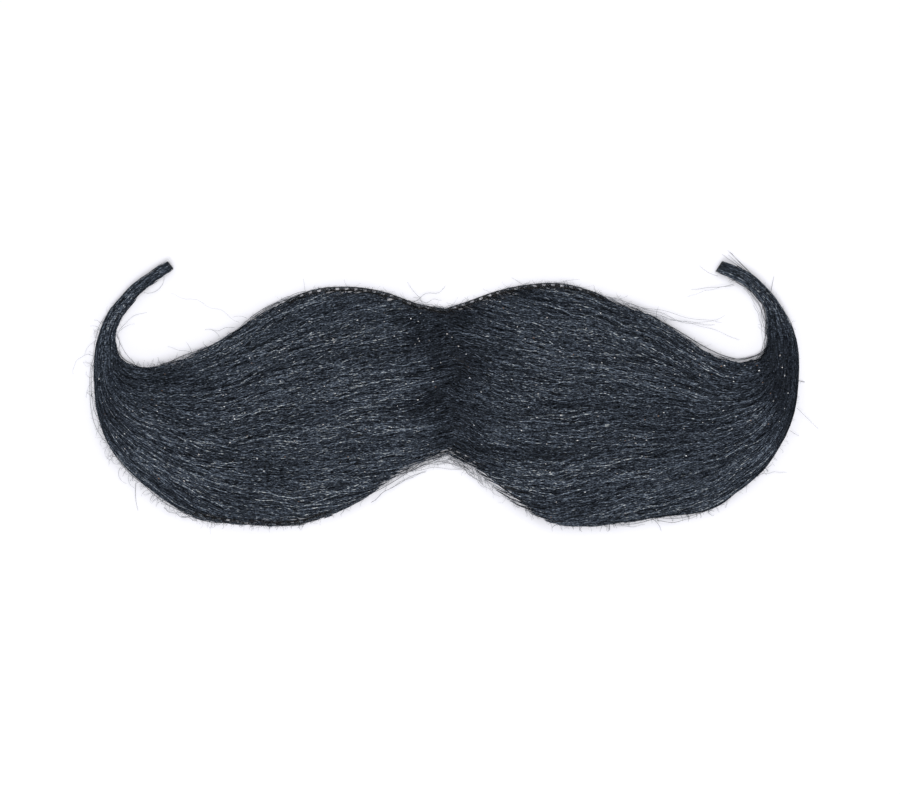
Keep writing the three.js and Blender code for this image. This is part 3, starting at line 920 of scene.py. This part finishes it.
# Single hairs that stand away from the hair: x and y of the root, heading, length, turn and
# wave of the hair, its width, and its tone
STRAYS = [
    (-60.0, 17.7, -14, 6.2, 112, 0, 0.07, 0.4),
    (-41.0, 11.8, 146, 15, 24, 0.3, 0.035, 0.6),
    (-65.0, 10.0, 65, 7, -58, 0.1, 0.06, 0.6),
    (-65.2, 9.6, 55, 4.0, -50, 0, 0.05, 0.6),
    (-65.3, 9.4, -78, 6.8, 38, 0, 0.09, 0.4),
    (-50.4, 5.6, 108, 2.6, 20, 0, 0.07, 0.5),
    (-50.5, 5.8, 172, 5, -10, 0.1, 0.06, 0.6),
    (-47.6, 7.0, 203, 6, 8, 0.1, 0.08, 0.5),
    (-42.0, 10.8, 196, 6, -18, 0.2, 0.07, 0.5),
    (-45.0, 9.0, 120, 2.2, 40, 0, 0.06, 0.6),
    (-39.5, 12.6, 150, 3, 50, 0, 0.06, 0.6),
    (-27.8, 18.0, 194, 11.5, 30, 0.1, 0.09, 0.5),
    (-27.0, 17.8, 193, 13, 20, 0.1, 0.08, 0.4),
    (-31.0, 17.0, 199, 8, 22, 0.1, 0.08, 0.5),
    (-24.0, 18.2, 188, 9, 16, 0.1, 0.07, 0.5),
    (-28.0, 18.2, 96, 2.4, 5, 0, 0.05, 0.6),
    (-5.0, 16.6, 140, 4.2, -22, 0, 0.06, 0.5),
    (-7.5, 16.2, 14, 8, 12, 0.4, 0.09, 0.4),
    (-6.8, 15.8, -8, 6, 24, 0.3, 0.08, 0.4),
    (-1.0, 14.4, 168, 6, -24, 0.3, 0.08, 0.4),
    (2.0, 15.0, 196, 5, -30, 0.2, 0.07, 0.5),
    (-70.4, -2.0, -104, 7.5, 230, 0, 0.06, 0.6),
    (-69.8, -4.0, -98, 5.5, 210, 0, 0.05, 0.6),
    (-70.0, 5.2, 165, 6.5, 115, 0.1, 0.05, 0.7),
    (-69.4, 8.2, 200, 4, 60, 0, 0.05, 0.7),
    (-61.6, -20.3, -99, 5.4, 26, 0, 0.09, 0.3),
    (-67.0, -12.8, -152, 4.2, 160, 0, 0.06, 0.6),
    (-66.0, -14.6, -142, 3.6, 200, 0, 0.06, 0.6),
    (-64.6, -17.0, -130, 4.2, 120, 0, 0.06, 0.6),
    (-63.0, -18.6, -110, 3.2, 90, 0, 0.06, 0.6),
    (-52.5, -26.8, -12, 10.5, 18, 0.2, 0.12, 0.3),
    (-56.0, -25.0, -30, 7, 20, 0.2, 0.1, 0.3),
    (-14.8, -24.0, 42, 12.5, -26, 0.15, 0.1, 0.3),
    (-11.0, -21.2, 34, 8, -14, 0.1, 0.08, 0.4),
    (-8.2, -17.0, 28, 8.4, -32, 0.2, 0.1, 0.3),
    (-3.4, -14.6, 12, 7, -40, 0.3, 0.08, 0.3),
    (-5.6, -16.0, 30, 5, -60, 0.2, 0.07, 0.4),
    (0.6, -15.4, -12, 6, -30, 0.3, 0.09, 0.3),
    (1.6, -15.8, -38, 8, -6, 0.2, 0.09, 0.3),
    (-7.6, -17.9, 16, 13.5, -34, 0.15, 0.08, 0.4),
    (-6.4, -17.3, 20, 12, -44, 0.2, 0.07, 0.4),
    (-5.2, -16.7, 22, 10.5, -52, 0.15, 0.09, 0.3),
    (-3.8, -16.0, 18, 8, -50, 0.2, 0.07, 0.5),
    (-2.5, -15.5, -10, 7, -20, 0.3, 0.08, 0.4),
    (-8.4, -18.2, 24, 9, -20, 0.2, 0.08, 0.3),
    (0.4, -15.2, -28, 7, -10, 0.2, 0.09, 0.3),
    (1.4, -16.0, -34, 7.5, -4, 0.15, 0.07, 0.4),
    (3.0, -16.6, -36, 8, -4, 0.2, 0.08, 0.3),
    (4.6, -18.0, -40, 8, 4, 0.15, 0.07, 0.4),
    (16.2, 18.8, 148, 3.6, 0, 0, 0.07, 0.4),
    (15.8, 19.0, 188, 3.8, -12, 0, 0.06, 0.5),
    (22.5, 19.7, 16, 4.2, -14, 0, 0.05, 0.5),
    (31.0, 17.0, -16, 24.5, 6, 0.25, 0.08, 0.4),
    (38.0, 14.6, -22, 16, 20, 0.15, 0.07, 0.5),
    (43.0, 13.0, -26, 13, 52, 0.1, 0.06, 0.5),
    (43.6, 12.4, -6, 15.5, -20, 0.1, 0.06, 0.5),
    (36.0, 15.6, -12, 12, -12, 0.15, 0.07, 0.5),
    (57.6, 19.8, -30, 11, -52, 0.1, 0.07, 0.4),
    (59.2, 18.6, -42, 9, -45, 0.1, 0.06, 0.5),
    (61.2, 15.2, -60, 7.4, -32, 0.1, 0.06, 0.4),
    (54.2, 21.0, 168, 4.4, -36, 0, 0.06, 0.5),
    (57.2, 19.4, 190, 8.4, -8, 0.1, 0.09, 0.4),
    (57.4, 19.2, 186, 9.6, 16, 0.1, 0.05, 0.6),
    (63.9, 18.4, 137, 10.4, -5, 0, 0.11, 0.2),
    (62.6, 19.6, 140, 8.6, -3, 0, 0.1, 0.2),
    (60.2, 21.6, 145, 6.4, -2, 0, 0.09, 0.3),
    (61.6, 20.6, 133, 7.8, 4, 0, 0.09, 0.3),
    (64.6, 17.6, 78, 3.4, 0, 0, 0.1, 0.4),
    (69.8, 0.3, -12, 1.7, 0, 0, 0.16, 0.2),
    (69.8, -5.2, -44, 6.2, 0, 0, 0.06, 0.5),
    (68.4, -9.7, -35, 2.2, 10, 0, 0.07, 0.5),
    (69.6, 3.8, 20, 2.2, 130, 0, 0.06, 0.7),
    (62.8, -16.2, -50, 2.2, 0, 0, 0.09, 0.4),
    (61.0, -19.0, 24, 7, -32, 0.1, 0.07, 0.5),
    (58.2, -21.4, 38, 3.8, 0, 0, 0.07, 0.5),
    (40.2, -26.8, -18, 4.2, -60, 0, 0.1, 0.3),
    (42.0, -27.6, -14, 8.4, 44, 0.1, 0.1, 0.3),
    (31.6, -27.8, -22, 8.2, 36, 0.1, 0.07, 0.5),
]

# Hairs that run beside an edge with a gap between: wing, edge (1 is the top one), from row,
# to row, how far away, width, tone
EDGE_HAIRS = [
    (RIGHT, 1, 7.3, 13.5, 0.95, 0.16, 0.15),
    (RIGHT, 1, 9.4, 13.0, 0.75, 0.09, 0.3),
    (RIGHT, 1, 9.8, 12.8, 1.05, 0.07, 0.4),
    (RIGHT, 1, 12.0, 14.7, 1.0, 0.09, 0.3),
    (RIGHT, 1, 12.4, 15.4, 0.6, 0.1, 0.4),
    (RIGHT, 1, 15.4, 18.3, 0.7, 0.1, 0.3),
    (RIGHT, 1, 14.8, 16.8, 0.9, 0.07, 0.4),
    (RIGHT, 0, 14.8, 16.7, 0.35, 0.1, 0.25),
    (RIGHT, 0, 13.8, 15.2, 0.25, 0.1, 0.4),
    (RIGHT, 0, 5.6, 7.4, 0.8, 0.1, 0.3),
    (RIGHT, 0, 6.9, 8.9, 0.85, 0.1, 0.3),
    (RIGHT, 0, 7.6, 9.8, 0.45, 0.13, 0.25),
    (RIGHT, 0, 10.1, 12.2, 0.4, 0.1, 0.3),
    (LEFT, 1, 11.5, 14.1, 0.55, 0.14, 0.2),
    (LEFT, 1, 12.6, 15.6, 0.9, 0.07, 0.4),
    (LEFT, 1, 8.1, 10.0, 0.5, 0.14, 0.2),
    (LEFT, 1, 4.7, 6.4, 0.45, 0.11, 0.3),
    (LEFT, 1, 4.9, 6.7, 0.75, 0.08, 0.4),
    (LEFT, 0, 0.9, 2.7, 0.7, 0.1, 0.3),
    (LEFT, 0, 0.2, 1.7, 0.9, 0.12, 0.25),
    (LEFT, 0, 7.3, 9.2, 0.5, 0.13, 0.25),
    (LEFT, 0, 8.3, 10.4, 0.7, 0.1, 0.3),
    (LEFT, 0, 9.6, 12.0, 0.5, 0.11, 0.3),
    (LEFT, 0, 11.9, 14.7, 2.1, 0.07, 0.4),
    (LEFT, 0, 12.7, 14.5, 1.3, 0.07, 0.5),
    (LEFT, 0, 14.4, 16.9, 0.7, 0.06, 0.5),
]

# Hairs that lie across the combed ones: wing, row and share from the bottom edge where they
# start and end, how far they bow, width, tone
TOP_HAIRS = [
    (LEFT, 2.42, 0.89, 1.78, 0.87, 0.0, 0.14, 0.72),
    (LEFT, 2.55, 0.8, 2.05, 0.83, -0.15, 0.12, 0.55),
    (LEFT, 3.4, 0.79, 2.3, 0.79, -0.3, 0.1, 0.5),
    (LEFT, 0.3, 0.74, 0.0, 0.77, 0.0, 0.11, 0.5),
    (RIGHT, 0.0, 0.76, 0.85, 0.77, 0.1, 0.11, 0.5),
    (RIGHT, 1.2, 0.78, 1.75, 0.74, 0.1, 0.11, 0.55),
    (RIGHT, 0.2, 0.62, 0.9, 0.7, 0.4, 0.1, 0.5),
    (LEFT, 0.9, 0.6, 0.2, 0.56, 0.3, 0.1, 0.5),
    (LEFT, 6.3, 0.2, 5.2, 0.22, 0.1, 0.1, 0.65),
    (RIGHT, 6.8, 0.45, 5.4, 0.5, 0.2, 0.1, 0.65),
    (RIGHT, 9.6, 0.3, 8.2, 0.36, 0.2, 0.11, 0.65),
    (LEFT, 10.6, 0.5, 9.2, 0.52, 0.2, 0.11, 0.65),
    (LEFT, 13.4, 0.3, 11.9, 0.34, 0.1, 0.12, 0.7),
    (LEFT, 13.9, 0.45, 12.6, 0.44, 0.1, 0.12, 0.65),
]

# Fuzz along the edges: wing, edge (1 is the top one), from row, to row, count, longest hair,
# how far it leans from the edge, how much it curls, widest hair
FUZZ = [
    (LEFT, 0, 0.0, 1.6, 90, 3.4, 14, 90, 0.06),
    (LEFT, 0, 1.4, 4.2, 60, 3.2, 10, 60, 0.08),
    (LEFT, 0, 4.0, 8.0, 260, 1.8, 20, 60, 0.1),
    (LEFT, 0, 7.6, 12.0, 250, 3.0, 24, 110, 0.07),
    (LEFT, 0, 11.8, 16.5, 90, 3.0, 25, 110, 0.06),
    (LEFT, 0, 16.5, 20.6, 16, 1.4, 20, 50, 0.05),
    (LEFT, 1, 0.0, 5.0, 46, 1.8, 16, 60, 0.07),
    (LEFT, 1, 0.0, 5.0, 160, 2.6, 12, 30, 0.04),
    (LEFT, 1, 4.8, 8.4, 70, 2.6, 12, 50, 0.08),
    (LEFT, 1, 8.2, 12.0, 90, 2.2, 34, 60, 0.06),
    (LEFT, 1, 12.0, 16.6, 26, 1.8, 20, 50, 0.06),
    (RIGHT, 0, 0.0, 2.6, 110, 3.4, 12, 80, 0.06),
    (RIGHT, 0, 2.4, 4.4, 60, 2.4, 20, 80, 0.07),
    (RIGHT, 0, 4.0, 9.0, 260, 2.4, 16, 80, 0.12),
    (RIGHT, 0, 8.8, 13.0, 90, 2.2, 30, 80, 0.06),
    (RIGHT, 0, 13.0, 18.6, 60, 1.6, 24, 70, 0.05),
    (RIGHT, 1, 0.0, 5.4, 50, 2.0, 18, 60, 0.06),
    (RIGHT, 1, 0.0, 5.8, 170, 2.6, 12, 30, 0.04),
    (RIGHT, 1, 5.2, 9.0, 150, 4.2, 9, 30, 0.07),
    (RIGHT, 1, 8.8, 12.0, 30, 2.6, 9, 30, 0.06),
    (RIGHT, 1, 11.6, 15.6, 60, 3.2, 14, 50, 0.06),
    (RIGHT, 1, 15.4, 20.4, 30, 1.8, 14, 40, 0.06),
]
STRAY_POINTS = 15
FUZZ_POINTS = 9


def arcs(rng, x, y, heading, length, turn, wave, points):
    """Lines that leave their roots at a heading and turn steadily, with a slight wave."""
    share = np.linspace(0, 1, points)
    angle = heading[:, None] + turn[:, None] * share
    waves = rng.uniform(1.5, 3.0, (len(x), 1))
    ripple = waves * 2 * math.pi * share + rng.uniform(0, 6, (len(x), 1))
    step = (length / (points - 1))[:, None]
    middle_angle = (angle[:, 1:] + angle[:, :-1]) / 2
    across = wave[:, None] * (np.sin(ripple) - np.sin(ripple[:, :1]))

    def run(steps):
        return np.concatenate([np.zeros((len(x), 1)), np.cumsum(steps, 1)], 1)

    line_x = x[:, None] + run(np.cos(middle_angle) * step) - np.sin(angle) * across
    line_y = y[:, None] + run(np.sin(middle_angle) * step) + np.cos(angle) * across
    return line_x, line_y


def settle(rng, line_x, line_y, root_height):
    """Lifts flat lines to their roots, from where they sink to just above what they lie on."""
    share = np.linspace(0, 1, line_x.shape[1])
    low = rng.uniform(0.08, 0.5, (len(line_x), 1))
    height = low + (root_height[:, None] - low) * (1 - share) ** 2
    return np.stack([line_x, line_y, height], axis=-1)


def steady(values):
    """One value for each line, the same at all its points."""
    return np.array(values)[:, None] * np.ones(STRAY_POINTS)


def stray_lines(rng, wing):
    """The single hairs on one wing's side, with their radii and tones."""
    table = np.array([row for row in STRAYS if (row[0] < 0) == (wing["side"] < 0)], float)
    x, y, heading, length, turn, wave, width, tone = table.T
    line_x, line_y = arcs(
        rng, x, y, np.radians(heading), length, np.radians(turn), wave, STRAY_POINTS
    )
    lines = settle(rng, line_x, line_y, np.full(len(x), 0.9))
    taper = np.linspace(1, 0.45, STRAY_POINTS)
    return lines, steady(width / 2) * taper, steady(tone)


def edge_lines(wing):
    """The hairs that run beside one wing's edges, with their radii and tones."""
    table = [row for row in EDGE_HAIRS if row[0] is wing]
    share = np.linspace(0, 1, STRAY_POINTS)
    lines = []
    for i, (_, edge, first, last, away, _, _) in enumerate(table):
        row = first + (last - first) * share
        ripple = 0.05 * np.sin(11 * share + i)
        off = away * np.sin(math.pi * share) ** 0.8 + ripple - 0.15
        off = off / spline(wing["depth"], row)
        x, y = place(wing, row, 1 + off if edge else -off)
        lines.append(np.stack([x, y, 0.9 - 0.45 * np.sin(math.pi * share)], axis=-1))
    return np.array(lines), steady([row[5] / 2 for row in table]), steady([row[6] for row in table])


def top_lines(wing):
    """The hairs that lie across the combed ones of one wing, with their radii and tones."""
    table = [row for row in TOP_HAIRS if row[0] is wing]
    share = np.linspace(0, 1, STRAY_POINTS)
    lines = []
    for _, first, start, last, end, bow, _, _ in table:
        row = first + (last - first) * share
        bend = bow * np.sin(math.pi * share) / spline(wing["depth"], row)
        across = start + (end - start) * share + bend
        x, y = place(wing, row, across)
        z = surface(wing, row, across, 0.2, SHOULDER) + 0.12
        lines.append(np.stack([x, y, z], axis=-1))
    return np.array(lines), steady([row[6] / 2 for row in table]), steady([row[7] for row in table])


def fuzz_lines(rng, wing):
    """Short fine hairs that stand out from one wing's edges, with their widths and tones."""
    lines, widths = [], []
    for of_wing, edge, first, last, count, longest, lean, curl, widest in FUZZ:
        if of_wing is not wing:
            continue
        row = rng.uniform(first, last, count)
        inwards = rng.uniform(0.0, 0.6, count)
        share = inwards / spline(wing["depth"], row)
        across = 1 - share if edge else share
        x, y = place(wing, row, across)
        x_next, y_next = place(wing, row + 0.02, across)
        x_out, y_out = place(wing, row, across + (0.02 if edge else -0.02))
        ahead = np.arctan2(y_next - y, x_next - x)
        outwards = np.arctan2(y_out - y, x_out - x)
        side = np.sign(np.sin(outwards - ahead))
        back = rng.random(count) < 0.4
        leans = np.radians(np.abs(rng.normal(0, lean, count)) + lean * 0.3)
        heading = np.where(back, ahead + math.pi - side * leans, ahead + side * leans)
        length = longest * rng.uniform(0.2, 1.0, count) ** 1.5
        turn = np.radians(rng.normal(0, curl, count))
        line_x, line_y = arcs(
            rng, x, y, heading, length, turn, rng.uniform(0, 0.12, count), FUZZ_POINTS
        )
        lines.append(settle(rng, line_x, line_y, rng.uniform(0.4, 1.1, count)))
        taper = np.linspace(1, 0.4, FUZZ_POINTS)
        widths.append(rng.uniform(0.03, widest, (count, 1)) * taper)
    return np.concatenate(lines), np.concatenate(widths)


def fly_aways(wing):
    """The single hairs and the fuzz of one wing."""
    rng = np.random.default_rng(60 + wing["side"])
    kinds = [stray_lines(rng, wing), edge_lines(wing), top_lines(wing)]
    lines, radii, tones = (np.concatenate(parts) for parts in zip(*kinds))
    piece = tubes(f"{wing['name']}_stray_hairs", lines, radii, tones, hair)
    finished(piece, f"{wing['name']}_hair")
    lines, widths = fuzz_lines(rng, wing)
    rolls = rng.uniform(-0.7, 0.7, (len(lines), 1)) * np.ones(FUZZ_POINTS)
    tones = np.clip(rng.normal(0.5, 0.2, (len(lines), 1)), 0, 1) * np.ones(FUZZ_POINTS)
    piece = ribbons(f"{wing['name']}_fuzz", lines, widths, rolls, tones, hair)
    finished(piece, f"{wing['name']}_hair")


for wing in (LEFT, RIGHT):
    fly_aways(wing)


def net_edge(wing, edge, rows, inset):
    """Points along the net's edge, moved inwards by inset."""
    depth = spline(wing["depth"], rows)
    trim = NET_INSET * (1 - rim_shows(wing, edge, rows)) + inset
    across = 1 - trim / depth if edge else trim / depth
    return np.stack(place(wing, rows, across), axis=-1)


def net_outline(inset):
    """The net's outline as one closed run of points, clockwise from the left end."""
    rows = np.linspace(0, NET_LAST_ROW, 97)
    end = inset / 4.0
    inner = np.clip(rows, 0, NET_LAST_ROW - end)
    return np.concatenate(
        [
            net_edge(LEFT, 1, inner[::-1], inset),
            net_edge(RIGHT, 1, inner, inset)[1:],
            net_edge(RIGHT, 0, inner[::-1], inset),
            net_edge(LEFT, 0, inner, inset)[1:],
        ]
    )


def even(points, spacing):
    """A closed run of points again, evenly spaced, with the number of steps that fits."""
    points = np.concatenate([points, points[:1]])
    lengths = np.concatenate([[0], np.cumsum(np.hypot(*np.diff(points, axis=0).T))])
    count = max(2, round(lengths[-1] / spacing))
    at = np.linspace(0, lengths[-1], count + 1)
    return np.stack([np.interp(at, lengths, points[:, k]) for k in range(2)], axis=-1)[:-1]


def inside(points, outline):
    """Which points lie inside a closed outline."""
    x, y = points[:, 0][:, None], points[:, 1][:, None]
    ax, ay = outline[:, 0], outline[:, 1]
    bx, by = np.roll(ax, -1), np.roll(ay, -1)
    spans = (ay > y) != (by > y)
    crossing = ax + (y - ay) * (bx - ax) / np.where(by == ay, 1e-9, by - ay)
    return (spans & (x < crossing)).sum(axis=1) % 2 == 1


def threads(segments, radius, sides=4):
    """Corners and faces of straight threads between pairs of points, with closed ends."""
    start, end = segments[:, 0], segments[:, 1]
    ahead = unit(end - start)
    up = np.broadcast_to(np.array([0.0, 0.0, 1.0]), ahead.shape)
    side = unit(cross(ahead, up) + np.array([1e-9, 0, 0]))
    lift = cross(side, ahead)
    angles = (np.arange(sides) + 0.5) * 2 * math.pi / sides
    across = side[:, None] * np.cos(angles)[None, :, None]
    ring = (across + lift[:, None] * np.sin(angles)[None, :, None]) * radius
    corners = np.stack([start[:, None] + ring, end[:, None] + ring], axis=1)
    at = np.arange(len(segments) * 2 * sides).reshape(-1, 2, sides)
    beside = np.roll(at, -1, axis=2)
    faces = np.stack([at[:, 0], beside[:, 0], beside[:, 1], at[:, 1]], axis=-1).reshape(-1, 4)
    ends = np.concatenate([at[:, 0, ::-1], at[:, 1]])
    return corners.reshape(-1, 3), np.concatenate([faces, ends])


def at_level(flat, height):
    """Points of a plan, all at one height."""
    return np.concatenate([flat, np.full(flat.shape[:-1] + (1,), height)], axis=-1)


def hex_edges(pitch, height):
    """The threads of a net with six-sided openings over the moustache's box."""
    arm = pitch / math.sqrt(3)
    segments = []
    columns = int(140 / pitch) + 4
    lines = int(60 / (1.5 * arm)) + 4
    for line in range(lines):
        for column in range(columns):
            x = -72 + (column + 0.5 * (line % 2)) * pitch
            y = -34 + line * 1.5 * arm
            foot = (x, y)
            top = (x, y + arm)
            left = (x - pitch / 2, y + 1.5 * arm)
            right = (x + pitch / 2, y + 1.5 * arm)
            segments += [(foot, top), (top, left), (top, right)]
    return at_level(np.array(segments, float), height)


# Radius of the two cords of the net's rim, of the bars between them and of the threads inside
# the rim, the gap between the cords, and how high each kind lies
CORD_RADIUS = 0.13
BAR_RADIUS = 0.15
THREAD_RADIUS = 0.2
RIM_GAP = 0.65
CORD_LEVEL = 0.15
BAR_LEVEL = 0.17
THREAD_LEVEL = 0.24

# Where the bars stand at each opening of the rim, and how often the cut of a thread is halved
BAR_SHIFTS = (-0.42, -0.14, 0.14, 0.42)
CUT_HALVINGS = 12


def rim_threads():
    """Two cords around the net, with bars between them."""
    outer = even(net_outline(CORD_RADIUS), WINDOW_PITCH / 4)
    inner = even(net_outline(CORD_RADIUS + RIM_GAP), WINDOW_PITCH / 4)
    parts = []
    for run in (outer, inner):
        line = at_level(run, CORD_LEVEL)
        parts.append(threads(np.stack([line, np.roll(line, -1, axis=0)], axis=1), CORD_RADIUS))
    bars = outer[::4]
    ahead = unit(np.roll(bars, -1, axis=0) - np.roll(bars, 1, axis=0))
    inwards = np.stack([ahead[:, 1], -ahead[:, 0]], axis=1)
    for shift in BAR_SHIFTS:
        start = bars + ahead * shift
        pair = np.stack([start, start + inwards * RIM_GAP], axis=1)
        parts.append(threads(at_level(pair, BAR_LEVEL), BAR_RADIUS))
    return parts


def mesh_threads():
    """The threads inside the rim, cut off where they meet it."""
    edges = hex_edges(WINDOW_PITCH, THREAD_LEVEL)
    clear = net_outline(CORD_RADIUS + RIM_GAP)
    first_in, last_in = (inside(edges[:, k, :2], clear) for k in range(2))
    crossing = first_in ^ last_in
    half, held = edges[crossing], first_in[crossing]
    near, far = np.zeros(len(half)), np.ones(len(half))
    for _ in range(CUT_HALVINGS):
        middle = (near + far) / 2
        at = np.where(held, middle, 1 - middle)[:, None]
        is_in = inside(half[:, 0, :2] * (1 - at) + half[:, 1, :2] * at, clear)
        near, far = np.where(is_in, middle, near), np.where(is_in, far, middle)
    at = np.where(held, near, 1 - near)[:, None]
    spot = half[:, 0] * (1 - at) + half[:, 1] * at
    inner_end = np.where(held[:, None], half[:, 0], half[:, 1])
    cut = np.stack([inner_end, spot], axis=1)
    return [threads(edges[first_in & last_in], THREAD_RADIUS), threads(cut, THREAD_RADIUS)]


def net_piece():
    """The net: six-sided openings of twisted thread inside a corded rim."""
    corners, faces, count = [], [], 0
    for points, quads in rim_threads() + mesh_threads():
        corners.append(points)
        faces.append(quads + count)
        count += len(points)
    piece = mesh_object("net", np.concatenate(corners), np.concatenate(faces), net_thread)
    return finished(piece, "net_backing")


net = net_piece()
outline = net_outline(0.0)


def floor_piece():
    mesh = bpy.data.meshes.new("floor")
    reach = 3.0
    corners = [(-reach, -reach, 0), (reach, -reach, 0), (reach, reach, 0), (-reach, reach, 0)]
    mesh.from_pydata(corners, [], [(0, 1, 2, 3)])
    material = bpy.data.materials.new("floor")
    material.use_nodes = True
    paper = material.node_tree.nodes["Principled BSDF"]
    paper.inputs["Base Color"].default_value = (0.86, 0.86, 0.91, 1)
    paper.inputs["Roughness"].default_value = 0.9
    paper.inputs["Specular IOR Level"].default_value = 0.0
    mesh.materials.append(material)
    linked("floor", mesh)


def area_light(name, place_m, size, power):
    """A round soft light that looks at the middle of the moustache."""
    light = bpy.data.lights.new(name, "AREA")
    light.shape = "DISK"
    light.size = size
    light.energy = power
    lamp = linked(name, light)
    lamp.location = place_m
    lamp.rotation_euler = (-Vector(place_m)).to_track_quat("-Z", "Y").to_euler()


SKY_TOP = 0.95
SKY_RIM = 0.25


def sky():
    """A white room that is brightest overhead. The camera sees it as plain white."""
    world = bpy.data.worlds.new("studio")
    bpy.context.scene.world = world
    nodes, links, add = node_maker(world)
    background = nodes["Background"]
    background.inputs["Color"].default_value = (1, 1, 1, 1)
    coordinates = add("ShaderNodeTexCoord")
    split = add("ShaderNodeSeparateXYZ", {"Vector": coordinates.outputs["Generated"]})
    strength = add(
        "ShaderNodeMapRange",
        {
            "Value": split.outputs["Z"],
            "From Min": 0.0,
            "From Max": 1.0,
            "To Min": SKY_RIM,
            "To Max": SKY_TOP,
        },
    )
    path = add("ShaderNodeLightPath")
    seen = add(
        "ShaderNodeMix",
        {0: path.outputs["Is Camera Ray"], 2: strength.outputs["Result"], 3: 1.0},
    )
    links.new(seen.outputs[0], background.inputs["Strength"])


def lights():
    sky()
    area_light("key", (-0.05, -0.42, 0.62), 0.35, 2.2)
    area_light("fill", (0.15, 0.42, 0.62), 0.50, 1.6)
    settings = bpy.context.scene.view_settings
    settings.view_transform = "Standard"
    settings.look = "None"
    settings.exposure = 0
    settings.gamma = 1


def camera():
    """Straight above, at the photograph's frame."""
    lens, sensor = 110.0, 36.0
    view_width = 178.7 * MM
    reference = 1.5 * MM
    data = bpy.data.cameras.new("camera")
    data.lens = lens
    data.sensor_width = sensor
    data.clip_start = 0.01
    data.clip_end = 20
    eye = linked("camera", data)
    eye.location = (0.85 * MM, -3.04 * MM, reference + view_width * lens / sensor)
    bpy.context.scene.camera = eye


floor_piece()
lights()
camera()
